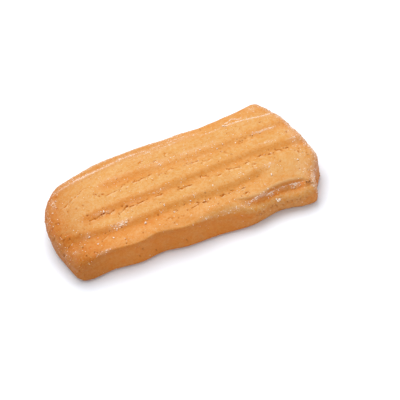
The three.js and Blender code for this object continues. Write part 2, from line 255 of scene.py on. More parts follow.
def mix(a, b, t):
    """a where t is 0 and b where t is 1."""
    return a + (b - a) * t


def fall(distance, width):
    """A bell: 1 at distance 0, falling off as exp(-(distance / width)^2)."""
    return np.exp(-((distance / width) ** 2))


def hump(t):
    """A raised cosine: 1 where t is 0, easing to 0 where its size reaches 1."""
    return 0.5 * (1 + np.cos(math.pi * np.minimum(1, np.abs(t))))


def toward(a):
    """The square of a where it is above 0, and 0 elsewhere."""
    return np.maximum(0, a) ** 2


def oval(x, y, middle, reach):
    """A bell over an oval of the plan, from its middle and its reach along X and Y."""
    return fall(np.hypot((x - middle[0]) / reach[0], (y - middle[1]) / reach[1]), 1)


def between(start, end, x, fade):
    """1 between start and end, with an eased step of the given half length at each."""
    return smooth(start - fade, start + fade, x) * (1 - smooth(end - fade, end + fade, x))


def line_at(line, x):
    """y of a line at x: a parabola through its three y values, plus a cosine wave."""
    left, middle, right = line.y
    s = x / LINE_REACH
    bow = middle + (right - left) / 2 * s + ((right + left) / 2 - middle) * s * s
    return bow + line.wave * np.cos(2 * math.pi * (x - line.peak) / line.length)


def nearest(places, a, b):
    """Index of the place whose first two values lie nearest to a and b."""
    return np.argmin((places[:, 0] - a) ** 2 + (places[:, 1] - b) ** 2)


def field(points, size, seed):
    """Random field between -1 and 1: random values on a cubic lattice with cells of `size`,
    blended between the eight corners round each point by 3t^2 - 2t^3 along each axis."""
    period = 32
    values = np.random.default_rng(seed).uniform(-1, 1, (period, period, period))
    cell = points / size
    base = np.floor(cell).astype(int)
    t = cell - base
    t = t * t * (3 - 2 * t)
    total = np.zeros(len(points))
    for corner in itertools.product((0, 1), repeat=3):
        weight = np.prod(np.where(corner, t, 1 - t), axis=1)
        i, j, k = ((base + corner) % period).T
        total += weight * values[i, j, k]
    return total


def outline_side(first, last, shares):
    """Points on one side of the plan outline, at shares of its length. The outline is a closed
    centripetal Catmull-Rom curve through OUTLINE: between two points it blends the lines through
    their neighbours, with knots spaced by the square root of the distance."""
    steps = 40
    p0, p1, p2, p3 = [np.roll(OUTLINE, 1 - k, 0) for k in range(4)]
    gap = lambda a, b: np.sqrt(np.linalg.norm(b - a, axis=1))[:, None, None]
    t1 = gap(p0, p1)
    t2 = t1 + gap(p1, p2)
    t3 = t2 + gap(p2, p3)
    t = t1 + (t2 - t1) * np.linspace(0, 1, steps, endpoint=False)[None, :, None]
    p0, p1, p2, p3 = [p[:, None, :] for p in (p0, p1, p2, p3)]
    a1 = mix(p0, p1, t / t1)
    a2 = mix(p1, p2, (t - t1) / (t2 - t1))
    a3 = mix(p2, p3, (t - t2) / (t3 - t2))
    b1 = mix(a1, a2, t / t2)
    b2 = mix(a2, a3, (t - t1) / (t3 - t1))
    curve = mix(b1, b2, (t - t1) / (t2 - t1)).reshape(-1, 2)
    side = curve[np.arange(first * steps, last * steps + 1) % len(curve)]
    run = np.concatenate([[0], np.cumsum(np.linalg.norm(np.diff(side, axis=0), axis=1))])
    return np.stack([np.interp(shares * run[-1], run, side[:, c]) for c in (0, 1)], axis=1)


def roll_share(shape, x):
    """How fully the low side roll is formed at x: it grows in and narrows again to the end."""
    grown = smooth(shape.roll_from, shape.roll_full, x)
    return grown * (1 - ROLL_NARROWS * smooth(shape.roll_fade, HALF_LENGTH, x))


def roll_inset(shape, x):
    """From the outline in to the crease above the roll: a bell wider near the +X end."""
    return shape.roll_inset + shape.roll_swell * fall(x - ROLL_SWELL_AT, ROLL_SWELL_REACH)


def crease_share(shape, x):
    """How deep the crease above the roll is at x: it closes before the +X end."""
    return roll_share(shape, x) * (1 - smooth(*CREASE_CLOSES, x))


def end_fall(shape, x):
    """How far the top falls toward both ends, as |x|^6."""
    return shape.end_drop * np.abs(x / HALF_LENGTH) ** 6


def groove_cut(groove, x, y, raised=0.0, gentle_share=1.0):
    """How deep a groove cuts at each plan point: a raised cosine across its line, between its
    two ends. It can be raised up its steep side, and its gentle side narrowed, by shares."""
    d = y - line_at(groove.line, x) - raised * groove.steep
    reach = np.where(d < 0, gentle_share * groove.gentle, groove.steep)
    return groove.depth * between(groove.start, groove.end, x, GROOVE_FADE) * hump(d / reach)


def crust_height(shape, x, y):
    """Height of the crust over the plan: a crown that falls as |y|^bend to the side heights and
    as |x|^6 to the ends, less a raised-cosine groove along each ridge's foot, less a bell at the
    slumped corner, plus two slow sine waves of 0.1 and 0.06 mm."""
    across = y / HALF_WIDTH
    side = mix(shape.near_side_height, shape.far_side_height, (across + 1) / 2)
    z = side + (shape.crown_height - side) * (1 - np.abs(across) ** shape.bend)
    z = z - end_fall(shape, x)
    for groove in GROOVES:
        z = z - groove_cut(groove, x, y)
    z = z - shape.slump * oval(x, y, *SLUMPED_CORNER)
    z = z + 0.1 * np.sin(x / 5.3 + 0.8) * np.cos(y / 3.7 + 0.4)
    return z + 0.06 * np.sin(x / 2.1 - y / 4.4 + 1.9)


def top_height(shape, x, y, crease_y):
    """The crust, dropping with a bell of width roll_flank into the crease above the roll."""
    drop = shape.near_side_height - shape.roll_crease_height
    return crust_height(shape, x, y) - crease_share(shape, x) * drop * fall(
        y - crease_y, shape.roll_flank)


def make_rim(shape, along, across):
    """The rim of the crown, point by point round the outline. Each point lies inside the outline
    by the shoulder's radius and the wall's lean, or by the width of the side roll, and that inward
    step is averaged along the rim with a bell so that it turns gently at the corners."""
    nu, nv = len(along) - 1, len(across) - 1
    forward_u, forward_v = (1 + along) / 2, (1 + across) / 2
    sides = (
        outline_side(CORNERS[0], CORNERS[1], forward_u),
        outline_side(CORNERS[1], CORNERS[2], forward_v),
        outline_side(CORNERS[2], CORNERS[3], 1 - forward_u[::-1]),
        outline_side(CORNERS[3], len(OUTLINE) + CORNERS[0], 1 - forward_v[::-1]),
    )
    edge = np.concatenate([side[:-1] for side in sides])
    column = np.concatenate([np.zeros(nu), np.arange(nv), np.full(nu, nv), np.arange(nv, 0, -1)])
    row = np.concatenate([np.arange(nu), np.full(nv, nu), np.arange(nu, 0, -1), np.zeros(nv)])
    stretch = np.linalg.norm(np.roll(edge, -1, 0) - edge, axis=1)
    station = np.concatenate([[0], np.cumsum(stretch)[:-1]])
    tangent = np.roll(edge, -1, 0) - np.roll(edge, 1, 0)
    tangent /= np.linalg.norm(tangent, axis=1)[:, None]
    facing = np.stack([tangent[:, 1], -tangent[:, 0]], axis=1)
    x, y = edge.T
    shoulder = (
        toward(facing[:, 0]) * shape.shoulder_right + toward(-facing[:, 0]) * shape.shoulder_left
        + toward(facing[:, 1]) * shape.shoulder_far + toward(-facing[:, 1]) * (
            shape.shoulder_near + shape.slump_round * (1 - smooth(*SLUMP_FADE, x))
            + shape.shoulder_near_soft * smooth(*SOFT_SHOULDER, x)))
    past_corner = np.maximum(0, y - edge[nu, 1]) * (column > 0)
    rolled = np.where(column > nv / 2, 0, roll_share(shape, x) * fall(
        past_corner, 2 * shape.roll_flank))
    lean = toward(-facing[:, 1]) * shape.near_lean
    wanted = mix(shoulder + lean, roll_inset(shape, x), rolled)
    apart = np.abs(station[:, None] - station[None])
    apart = np.minimum(apart, stretch.sum() - apart)
    weight = fall(apart, shape.corner_ease) * stretch[None]
    eased = (weight @ (facing * wanted[:, None])) / weight.sum(axis=1)[:, None]
    offset = -np.hypot(*eased.T)
    return SimpleNamespace(
        nu=nu, nv=nv, edge=edge, facing=facing, offset=offset, outward=-eased / offset[:, None],
        row=row.astype(int), shoulder=shoulder, lean=lean, rolled=rolled, scale=-offset / wanted)


def beside_outline(rim, offset):
    """Plan points at the given outward offsets from the outline, in the rim's own directions."""
    return rim.edge + rim.outward * np.asarray(offset)[..., None]


def make_crown(shape, rim, along, across):
    """Points of the crown, (along, across, 3). Its plan is a sheet spanned between the four sides
    of the rim: the blend along plus the blend across, less the blend of the four corners. Each
    tear pulls its own column onto its line, fading as a raised cosine to either side."""
    plan = beside_outline(rim, rim.offset)
    nu, nv = rim.nu, rim.nv
    near = plan[:nu + 1]
    right = plan[nu:nu + nv + 1]
    far = plan[nu + nv:2 * nu + nv + 1][::-1]
    left = np.concatenate([plan[2 * nu + nv:], plan[:1]])[::-1]
    a = ((1 + along) / 2)[:, None, None]
    b = ((1 + across) / 2)[None, :, None]
    corners = mix(mix(near[0], near[-1], a), mix(far[0], far[-1], a), b)
    sheet = mix(left[None], right[None], a) + mix(near[:, None], far[:, None], b) - corners
    x, y = sheet[..., 0], sheet[..., 1].copy()
    for tear in TEARS:
        j = np.argmin(np.abs(across - tear.column))
        pull = (line_at(tear.line, x[:, j]) - sheet[:, j, 1]) * (1 - along ** 8)
        y += pull[:, None] * hump((across - tear.column) / TEAR_PULL)[None]
    crease_y = near[:, 1]
    z = top_height(shape, x, y, crease_y[:, None])
    return np.stack([x, y, z], axis=2), crease_y


def make_sides(shape, rim, crease_y):
    """Points of the rows down the side, (rows, rim, 3). Where there is no roll a row follows a
    quarter circle of the shoulder, then the wall, then a quarter circle under the foot. On the
    roll it follows an arc of an ellipse from the crease over the crest to the widest level, and
    a quarter ellipse from there to the ground. The roll's share blends the two."""
    upper = ARC_ROWS + 1
    rows = ARC_ROWS + WALL_ROWS + FOOT_ROWS
    quarter = math.pi / 2
    j = np.arange(1, rows + 1)[:, None]
    radius = (rim.shoulder * rim.scale)[None]
    inset = (rim.lean * rim.scale)[None]
    crease = crease_y[rim.row][None]

    turn = quarter * np.minimum(1, j / ARC_ROWS)
    arc_offset = radius * (np.sin(turn) - 1) - inset
    at = beside_outline(rim, arc_offset)
    arc_z = top_height(shape, at[..., 0], at[..., 1], crease) - radius * (1 - np.cos(turn))
    under = quarter * np.clip((j - ARC_ROWS - WALL_ROWS) / FOOT_ROWS, 0, 1)
    wall_z = mix(arc_z[ARC_ROWS - 1][None], shape.bottom_round, (j - ARC_ROWS) / WALL_ROWS)
    on_foot = j > ARC_ROWS + WALL_ROWS
    plain_z = np.where(j <= ARC_ROWS, arc_z, np.where(
        on_foot, shape.bottom_round * (1 - np.sin(under)), wall_z))
    down = np.clip((j - ARC_ROWS) / WALL_ROWS, 0, 1)
    plain_offset = arc_offset + inset * down - shape.bottom_round * (1 - np.cos(under))

    turn = mix(FIRST_TURN, quarter, np.minimum(1, j / upper))
    under = quarter * np.clip((j - upper) / (rows - upper), 0, 1)
    crest = shape.roll_crest_height - end_fall(shape, rim.edge[:, 0])
    roll_z = np.where(j <= upper, mix(shape.roll_widest_height, crest[None], np.cos(turn)),
                      shape.roll_widest_height * (1 - np.sin(under)))
    reach = shape.roll_arc_reach * roll_inset(shape, rim.edge[:, 0])
    roll_offset = (rim.scale[None] * reach * (np.sin(turn) - 1)
                   - shape.bottom_round * (1 - np.cos(under)))

    share = rim.rolled[None]
    plan = beside_outline(rim, mix(plain_offset, roll_offset, share))
    return np.concatenate([plan, mix(plain_z, roll_z, share)[..., None]], axis=2)


def across_columns():
    """Places across, from -1 to 1, closer together beside each tear and at both rims: the columns
    are spaced evenly in the running sum of a density of 1 plus a bell at each of those."""
    fine = np.linspace(-1, 1, 4001)
    density = 1 + sum(1.7 * fall(fine - tear.column, 0.05) for tear in TEARS)
    density += 1.2 * fall(fine + 1, 0.08) + 0.6 * fall(fine - 1, 0.08)
    run = np.concatenate([[0], np.cumsum((density[1:] + density[:-1]) / 2)])
    return np.interp(np.linspace(0, run[-1], ACROSS_CELLS + 1), run, fine)


def make_form(shape):
    """The whole closed surface before its fine relief: points, quads and the fan of triangles
    that closes the underside, with what the relief needs to know of each point."""
    along = np.sin(np.linspace(-END_CROWDING, END_CROWDING, ALONG_CELLS + 1)) / math.sin(
        END_CROWDING)
    across = across_columns()
    rim = make_rim(shape, along, across)
    crown, crease_y = make_crown(shape, rim, along, across)
    sides = make_sides(shape, rim, crease_y)
    count = len(rim.edge)

    # The underside: rings that shrink evenly to the middle
    inward = (np.arange(1, UNDERSIDE_ROWS) / UNDERSIDE_ROWS)[:, None, None]
    rings = sides[-1][None] * (1 - inward)
    points = np.concatenate([crown.reshape(-1, 3), sides.reshape(-1, 3), rings.reshape(-1, 3),
                             np.zeros((1, 3))])

    grid = np.arange(crown.shape[0] * crown.shape[1]).reshape(crown.shape[:2])
    crown_quads = np.stack([grid[:-1, :-1], grid[1:, :-1], grid[1:, 1:], grid[:-1, 1:]],
                           axis=2).reshape(-1, 4)
    rim_points = np.concatenate([grid[:-1, 0], grid[-1, :-1], grid[:0:-1, -1], grid[0, :0:-1]])
    lower = grid.size + np.arange((len(sides) + len(rings)) * count).reshape(-1, count)
    rows = np.concatenate([rim_points[None], lower])
    turned = np.roll(rows, -1, axis=1)
    side_quads = np.stack([rows[:-1], rows[1:], turned[1:], turned[:-1]], axis=2).reshape(-1, 4)
    fan = np.stack([rows[-1], np.full(count, len(points) - 1), turned[-1]], axis=1)

    # Level of each point: the crown is 0 and the side rows count down from it
    level = np.concatenate([np.zeros(grid.size), np.repeat(np.arange(1, len(lower) + 1), count),
                            [len(lower) + 1]])
    rolled = np.concatenate([np.zeros(grid.size), np.tile(rim.rolled, len(lower)), [0]])
    to_crease = np.concatenate([(crown[..., 1] - crease_y[:, None]).ravel(),
                                np.zeros(lower.size + 1)])
    return SimpleNamespace(points=points, quads=np.concatenate([crown_quads, side_quads]), fan=fan,
                           rim=rim, level=level, rolled=rolled, to_crease=to_crease,
                           crown_count=grid.size)


def point_normals(points, quads, fan):
    """Unit normal at each point: the sum of its faces' normals, each as long as twice its area."""
    triangles = np.concatenate([quads[:, [0, 1, 2]], quads[:, [0, 2, 3]], fan])
    a, b, c = (points[triangles[:, k]] for k in range(3))
    normal = np.cross(b - a, c - a)
    total = np.stack([
        sum(np.bincount(triangles[:, k], normal[:, axis], len(points)) for k in range(3))
        for axis in range(3)], axis=1)
    return total / np.maximum(np.linalg.norm(total, axis=1), 1e-12)[:, None]


def outline_distance(form):
    """For each point, how far it lies from the outline in plan, and the outline's outward
    direction there: the nearest point of the rim's edge, found in slices."""
    plan = form.points[:, :2].astype(np.float32)
    edge = form.rim.edge.astype(np.float32)
    closest, distance = [], []
    for part in np.array_split(plan, 24):
        squared = ((part[:, None] - edge[None]) ** 2).sum(axis=2)
        index = squared.argmin(axis=1)
        closest.append(index)
        distance.append(np.sqrt(squared[np.arange(len(part)), index]))
    return np.concatenate(distance), form.rim.facing[np.concatenate(closest)]


def slit_list(shape):
    """Every slit as rows of x, y, half length, turn and gape, from its two ends, each a little
    askew and gaping a little more or less than its neighbours."""
    rng = np.random.default_rng(shape.seed)
    x0, y0, x1, y1, gape = np.array(SLITS).T
    askew = rng.uniform(-0.06, 0.06, len(gape))
    return np.stack([(x0 + x1) / 2, (y0 + y1) / 2, np.hypot(x1 - x0, y1 - y0) / 2 + 0.15,
                     np.arctan2(y1 - y0, x1 - x0) + askew,
                     gape * rng.uniform(0.85, 1.1, len(gape))], axis=1)


def torn_open(shape, x, y):
    """Three masks of the tears at each plan point, 0 to about 1: how far the crust is torn, how
    strongly it curls up at a slit's near lip, and a wider pale skin on the slit's near side. The
    pale colour of the lip and the skin is partly paler torn crust and partly painted light on the
    side of the tear that faces the key.

    Along a slit t runs from -1 to 1 and its half width is w (1 - t^2), pinched by random values
    along it; its middle wanders in the same way. Across it the opening is 1 - |distance| / width,
    and the lip and the skin are bells past the near edge."""
    opened, lip, skin = np.zeros((3, len(x)))
    for cx, cy, half, turn, gape in slit_list(shape):
        near = np.flatnonzero((np.abs(x - cx) < half + 1) & (np.abs(y - cy) < half * 0.7 + 1.2))
        c, s = math.cos(turn), math.sin(turn)
        along = (x[near] - cx) * c + (y[near] - cy) * s
        aside = (y[near] - cy) * c - (x[near] - cx) * s
        row = np.stack([along, np.full(len(near), cx * 3.7), np.full(len(near), cy)], axis=1)
        for k, (swing, run) in enumerate(TEAR_WANDER):
            aside = aside + swing * field(row, run, shape.seed + k)
        span = np.clip(1 - (along / half) ** 2, 0, 1)
        pinch = np.clip(TEAR_PINCH + TEAR_PINCH_SWING * field(
            row, TEAR_PINCH_LENGTH, shape.seed + 2), TEAR_NARROWEST, 1)
        width = shape.tear_half_width * gape * span * pinch + 1e-6
        gap = np.clip(1 - np.abs(aside) / width, 0, 1) * np.sqrt(span * pinch) * gape
        opened[near] = np.maximum(opened[near], gap)
        lip[near] = np.maximum(lip[near], span * gape * fall(aside + width + 0.16, 0.24))
        skin[near] = np.maximum(skin[near], span * np.minimum(1, gape) * fall(aside + 0.5, 0.9))
    return np.clip(opened, 0, 1), lip, skin


def quad_areas(points, quads):
    """Area of each quad, as half the length of the cross product of its diagonals."""
    a, b, c, d = (points[quads[:, k]] for k in range(4))
    return 0.5 * np.linalg.norm(np.cross(c - a, d - b), axis=1)


def pore_places(shape, form, normals):
    """Centres and radii of the pores. The larger ones sit on the crown's nearest plan point, or
    on the near side's nearest point, a few crumbly pits lie round each tear, and the fine pores
    sit on points drawn by area, closer together at both ends."""
    rng = np.random.default_rng(shape.seed + 50)
    points = form.points
    crown = points[:form.crown_count]
    wall = points[(form.level > ARC_ROWS) & (normals[:, 1] < -0.6)]
    centres, radii = [], []
    for x, y, radius in TOP_PORES:
        centres.append(crown[nearest(crown, x, y)])
        radii.append(radius)
    for x, height, radius in SIDE_PORES:
        centres.append(wall[nearest(wall[:, [0, 2]], x, height)])
        radii.append(radius)
    for cx, cy, half, turn, _ in slit_list(shape):
        along = rng.uniform(-PIT_ALONG, PIT_ALONG, PITS_BY_SLIT) * half
        aside = rng.normal(0, PIT_ASIDE, PITS_BY_SLIT)
        for a, b in zip(along, aside):
            x = cx + a * math.cos(turn) - b * math.sin(turn)
            y = cy + a * math.sin(turn) + b * math.cos(turn)
            centres.append(crown[nearest(crown, x, y)])
            radii.append(rng.uniform(*PIT_RADII))
    first = points[form.quads[:, 0]]
    spread = quad_areas(points, form.quads) * (first[:, 2] > 1) * (
        1 + 4 * smooth(36, 41, np.abs(first[:, 0])))
    chosen = rng.choice(len(form.quads), shape.fine_pores, p=spread / spread.sum())
    centres.extend(points[form.quads[chosen, 0]])
    radii.extend(rng.uniform(*FINE_PORE_RADII, shape.fine_pores) * shape.pore_scale)
    return np.array(centres), np.array(radii)


def pitted(points, centres, radii):
    """Depth of the pores at each point, 0 to 1: a bowl that is 1 inside 0.35 of its radius and
    eases to 0 at 1.25 of it. Each pore looks only at the points in a slab round its x."""
    depth = np.zeros(len(points))
    order = np.argsort(points[:, 0])
    sorted_x = points[order, 0]
    for centre, radius in zip(centres, radii):
        reach = 1.25 * radius
        first, last = np.searchsorted(sorted_x, (centre[0] - reach, centre[0] + reach))
        near = order[first:last]
        r = np.linalg.norm(points[near] - centre, axis=1)
        depth[near] = np.maximum(depth[near], 1 - smooth(0.35 * radius, reach, r))
    return depth


def flour_cover(shape, form, x, y, distance, facing):
    """How much flour lies at each point, 0 to 1: the most of the flour lines, each a bell across
    its line, the patches, each an oval bell, the crease above the roll, both ends' rims and a
    thin veil inside the far rim."""
    top = form.level <= ARC_ROWS
    cover = np.zeros(len(x))
    for flour in FLOUR_LINES:
        amount = np.max([between(start, end, x, 1.5) * much for start, end, much in flour.spans],
                        axis=0)
        cover = np.maximum(cover, amount * fall(y - line_at(flour.line, x), flour.half_width))
    for cx, cy, length, width, much in FLOUR_PATCHES:
        cover = np.maximum(cover, much * oval(x, y, (cx, cy), (length, width)))
    clumps = 0.75 + 0.8 * field(np.stack([x, 0 * x, 0 * x], axis=1), 1.4, shape.seed + 3)
    crease = (form.level == 0) * smooth(*CREASE_FLOUR_FROM, x) * crease_share(
        shape, x) * clumps * fall(form.to_crease - 0.12, 0.2)
    right_rim = toward(facing[:, 0]) * fall(distance - 0.6, 1.0) * (form.level <= ARC_ROWS + 2)
    left_rim = toward(-facing[:, 0]) * fall(distance - 1.2, 1.2) * top
    far_veil = FAR_VEIL * toward(facing[:, 1]) * (1 - smooth(1.8, 3, distance)) * between(
        -40, 10, x, 4) * top
    return np.clip(np.max([cover * top, crease, far_veil, RIGHT_RIM_FLOUR * right_rim,
                           LEFT_RIM_FLOUR * left_rim], axis=0), 0, 1)


def crust_regions(shape, form, normals, distance, facing):
    """How strongly each point lies in each named region of the crust, 0 to about 1: eased steps
    and bells over x, over the height and over the distance in from the outline."""
    x, y, z = form.points.T
    side = form.level > 0
    roll = form.rolled * side
    wall = 1 - smooth(0.15, 0.72, normals[:, 2])
    far_strip = toward(facing[:, 1]) * (1 - smooth(3, 8, distance))
    # Groove mask: each groove's cut, moved up its steep side and narrowed on its gentle side; its
    # colour is partly painted shade, darkest on the steep near-facing risers and richer for light
    # bounced between ridges, and partly the crust's own richer colour
    valleys = [groove_cut(groove, x, y, raised=0.4, gentle_share=0.75) for groove in GROOVES]
    groove = np.max(valleys, axis=0) * (form.level <= 3)
    crease = crease_share(shape, x)
    return {
        "everywhere": np.ones(len(x)),
        "left end": toward(-facing[:, 0]) * fall(distance, 4.8),
        "left tip": fall(x + 38, 9),
        "left third": fall(x + 43, 11),
        "right end": toward(facing[:, 0]) * fall(distance, 2.6),
        "near left corner": oval(x, y, *NEAR_LEFT_CORNER),
        "near strip": toward(-facing[:, 1]) * (1 - smooth(3, 9, distance)) * mix(
            0.5, 0.22, smooth(-15, 15, x)),
        "far strip": far_strip,
        "far left strip": far_strip * (1 - smooth(-5, 15, x)),
        "wall": wall,
        # Painted shade: the top of each wall, just under the shoulder, is darkened for the thin
        # shadow there
        "painted shade under shoulder": wall * smooth(8, 10, z),
        "smooth wall": side * toward(-facing[:, 1]) * between(-31, 4, x, 3),
        "roll": roll,
        "roll wall": wall * roll,
        # Painted shade: the crease above the side roll, and the top of the roll just below it, are
        # browned and darkened for the shade that the crease's upper edge casts there
        "fold": crease * np.where(side, form.rolled * fall(form.level - 1, 1.2),
                                  fall(form.to_crease, 0.4)),
        # Painted light: the steep flank just above the crease gets the pale lip colour, which takes
        # out the shade on it
        "painted light on crease edge": ~side * crease * fall(form.to_crease - 1, 0.55),
        "grooves": groove,
        # Painted shade: the grooves on the -X half are browned and darkened so that they read deeper
        "painted shade in left grooves": groove * (1 - smooth(-16, 0, x)),
    }


def shared_out(regions, shares):
    """The regions added up, each times its share, and kept between 0 and 1."""
    return np.clip(sum(share * regions[name] for name, share in shares.items()), 0, 1)


def relieve(shape, form):
    """Moves each point along its normal by the fine relief, and works out the surface masks.

    The relief is the sum of soft lumps at three scales, fine grain, flakes where the crust is
    rough, bulges on the side roll, the slits and their lips, the pores, and the thickness of the
    flour. It fades out over the last millimetre above the ground, and the underside has only
    shallow hollows."""
    points = form.points
    x, y, z = points.T
    normals = point_normals(points, form.quads, form.fan)
    distance, facing = outline_distance(form)
    regions = crust_regions(shape, form, normals, distance, facing)
    smooth_wall = regions["smooth wall"]
    rough = shared_out(regions, ROUGHENED) * (1 - 0.8 * smooth_wall)
    seed = shape.seed * 10
    lump = shape.lump_height

    soft = (lump * (field(points, 6.5, seed + 1) + 0.6 * field(points, 3.2, seed + 2))
            + 0.35 * lump * field(points, 1.6, seed + 3)) * (1 - 0.6 * smooth_wall)
    grain = shape.grain_height * (field(points, 0.75, seed + 4) + 0.7 * field(
        points, 0.45, seed + 5))
    flakes = shape.flake_height * rough * (
        field(points * (0.8, 1, 1.3), 1.3, seed + 6) + 0.6 * np.abs(field(points, 0.8, seed + 7)))
    bulges = 1.6 * lump * regions["roll"] * field(points, 3.8, seed + 8)

    opened, lip, skin = [part * (form.level == 0) for part in torn_open(shape, x, y)]
    pores = pitted(points, *pore_places(shape, form, normals))
    cover = flour_cover(shape, form, x, y, distance, facing)
    ragged = 0.5 + 0.5 * field(points * (0.6, 1, 1), 0.9, seed + 9)
    dust = smooth(0.42, 0.85, cover * 0.85 + ragged * 0.45)

    relief = (soft + grain + flakes + bulges + shape.lip_height * lip + shape.flour_height * dust
              - shape.tear_depth * opened - shape.pore_depth * pores)
    moved = points + normals * (relief * smooth(0, 1.2, z))[:, None]
    under = z <= 0
    moved[under] = points[under]
    hollow = np.maximum(0, field(points, 4.0, seed + 11)) * lump * (
        form.level > ARC_ROWS + WALL_ROWS + FOOT_ROWS)
    moved[:, 2] = np.maximum(0, moved[:, 2] + hollow)

    return moved, {
        "rough": rough, "torn": opened, "pore": pores, "flour": cover,
        # baked holds the darker ends and corner, and painted shade in the fold, the -X grooves and
        # just under the shoulder; brown holds the browned sides and ends, and painted shade in the
        # fold and the -X grooves
        "baked": shared_out(regions, DARKENED), "brown": shared_out(regions, BROWNED_AND_SHADED),
        # The groove colour's mask: along the grooves, strongest on their steep near-facing sides, it
        # is partly painted shade; the strip inside the far rim gets half of it
        "valley": np.maximum(regions["grooves"], 0.5 * regions["far strip"]),
        # Pale lip colour: partly paler torn crust and partly painted light on the near side of each
        # tear, and painted light on the flank above the crease
        "lip": np.max([lip, 0.55 * skin, 0.55 * regions["painted light on crease edge"]], axis=0),
    }


# ---------------------------------------------------------------------------------------------
# Meshes
# ---------------------------------------------------------------------------------------------

def new_object(name, data):
    """An object for the data, linked to the scene."""
    made = bpy.data.objects.new(name, data)
    bpy.context.scene.collection.objects.link(made)
    return made


def put_mesh(name, points, faces, material, masks=None):
    """A mesh piece with its place in its vertices, riding on the biscuit's body."""
    mesh = bpy.data.meshes.new(name)
    mesh.from_pydata((points * MM).tolist(), [], faces)
    mesh.update()
    for mask, values in (masks or {}).items():
        attribute = mesh.attributes.new(mask, "FLOAT", "POINT")
        attribute.data.foreach_set("value", values.astype(np.float32))
    mesh.polygons.foreach_set("use_smooth", np.ones(len(mesh.polygons), bool))
    mesh.materials.append(material)
    piece = new_object(name, mesh)
    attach(piece, BODY)
    return piece


def read_values(collection, key, kind, width=1):
    """One value of every item of a mesh collection, as an array of rows of that width."""
    values = np.empty(len(collection) * width, kind)
    collection.foreach_get(key, values)
    return values.reshape(-1, width) if width > 1 else values


def read_surface(name, mask):
    """Points, point normals, quads and one mask of a finished piece, in millimetres."""
    mesh = bpy.data.objects[name].data
    totals = read_values(mesh.polygons, "loop_total", np.int32)
    starts = read_values(mesh.polygons, "loop_start", np.int32)
    corners = read_values(mesh.loops, "vertex_index", np.int32)
    return (read_values(mesh.vertices, "co", np.float32, 3) / MM,
            read_values(mesh.vertices, "normal", np.float32, 3),
            corners[starts[totals == 4][:, None] + np.arange(4)],
            read_values(mesh.attributes[mask].data, "value", np.float32))


def drawn_places(points, normals, quads, weight, count, rng):
    """Random places on a surface, drawn by area times weight, each a bilinear blend of its quad's
    corners: positions and unit normals."""
    share = quad_areas(points, quads) * weight[quads].mean(axis=1)
    chosen = quads[rng.choice(len(quads), count, p=share / share.sum())]
    u, v = rng.uniform(0, 1, (2, count, 1))
    blend = lambda values: mix(mix(values[chosen[:, 0]], values[chosen[:, 1]], u),
                               mix(values[chosen[:, 3]], values[chosen[:, 2]], u), v)
    normal = blend(normals)
    return blend(points), normal / np.linalg.norm(normal, axis=1)[:, None]


def grain_template():
    """The twelve points and twenty faces of an icosahedron of radius 1: the points are the cyclic
    turns of (0, +-1, +-golden ratio), and each face joins three that are nearest neighbours."""
    golden = (1 + math.sqrt(5)) / 2
    points = np.array([np.roll((0, a, b * golden), turn) for turn in range(3)
                       for a in (-1, 1) for b in (-1, 1)]) / math.hypot(1, golden)
    apart = np.linalg.norm(points[:, None] - points[None], axis=2)
    close = apart < apart[apart > 0].min() * 1.1
    faces = []
    for i, j, k in itertools.combinations(range(12), 3):
        if close[i, j] and close[j, k] and close[i, k]:
            out = np.dot(np.cross(points[j] - points[i], points[k] - points[i]), points[i]) > 0
            faces.append((i, j, k) if out else (i, k, j))
    return points, np.array(faces)


def scattered_grains(places, normals, radii, flatten, rng):
    """One mesh of many uneven grains: an icosahedron with each point drawn in or out by up to a
    third, turned at random, flattened along the surface normal and sunk a little into it."""
    template, template_faces = grain_template()
    count = len(places)
    swell = rng.uniform(0.68, 1.25, (count, len(template), 1))
    turns = np.linalg.qr(rng.normal(size=(count, 3, 3)))[0]
    turns *= np.sign(np.linalg.det(turns))[:, None, None]
    stretch = rng.uniform(0.75, 1.3, (count, 1, 3))
    body = (template[None] * swell * stretch) @ turns.transpose(0, 2, 1)
    height = (body * normals[:, None]).sum(axis=2, keepdims=True)
    body = body - height * flatten * normals[:, None]
    centre = places + normals * (radii * (1 - flatten) * 0.35)[:, None]
    points = centre[:, None] + body * radii[:, None, None]
    faces = template_faces[None] + len(template) * np.arange(count)[:, None, None]
    return points.reshape(-1, 3), faces.reshape(-1, 3).tolist()


# ---------------------------------------------------------------------------------------------
# Materials
# ---------------------------------------------------------------------------------------------

def add_node(tree, kind, inputs=None, **settings):
    """A node with its settings and inputs; an input is a value or another node's output."""
    node = tree.nodes.new(kind)
    for name, value in settings.items():
        setattr(node, name, value)
    for name, value in (inputs or {}).items():
        if isinstance(value, bpy.types.NodeSocket):
            tree.links.new(value, node.inputs[name])
        else:
            node.inputs[name].default_value = value
    return node


def ranged(tree, value, low, high, to_low=0.0, to_high=1.0):
    """value eased from low to high onto to_low to to_high."""
    return add_node(tree, "ShaderNodeMapRange", {
        "Value": value, "From Min": low, "From Max": high, "To Min": to_low, "To Max": to_high,
    }, interpolation_type="SMOOTHSTEP").outputs["Result"]


def joined(tree, operation, a, b, clamp=True):
    """a and b joined by a Math node, clamped to 0 to 1 unless told otherwise."""
    return add_node(tree, "ShaderNodeMath", {0: a, 1: b}, operation=operation,
                    use_clamp=clamp).outputs[0]


def blended(tree, factor, under, over, blend="MIX"):
    """The colour `over` laid on, or multiplied into, the colour `under` by the factor."""
    colour = lambda c: c if isinstance(c, bpy.types.NodeSocket) else (*c, 1.0)
    return add_node(tree, "ShaderNodeMix", {0: factor, 6: colour(under), 7: colour(over)},
                    data_type="RGBA", blend_type=blend).outputs[2]


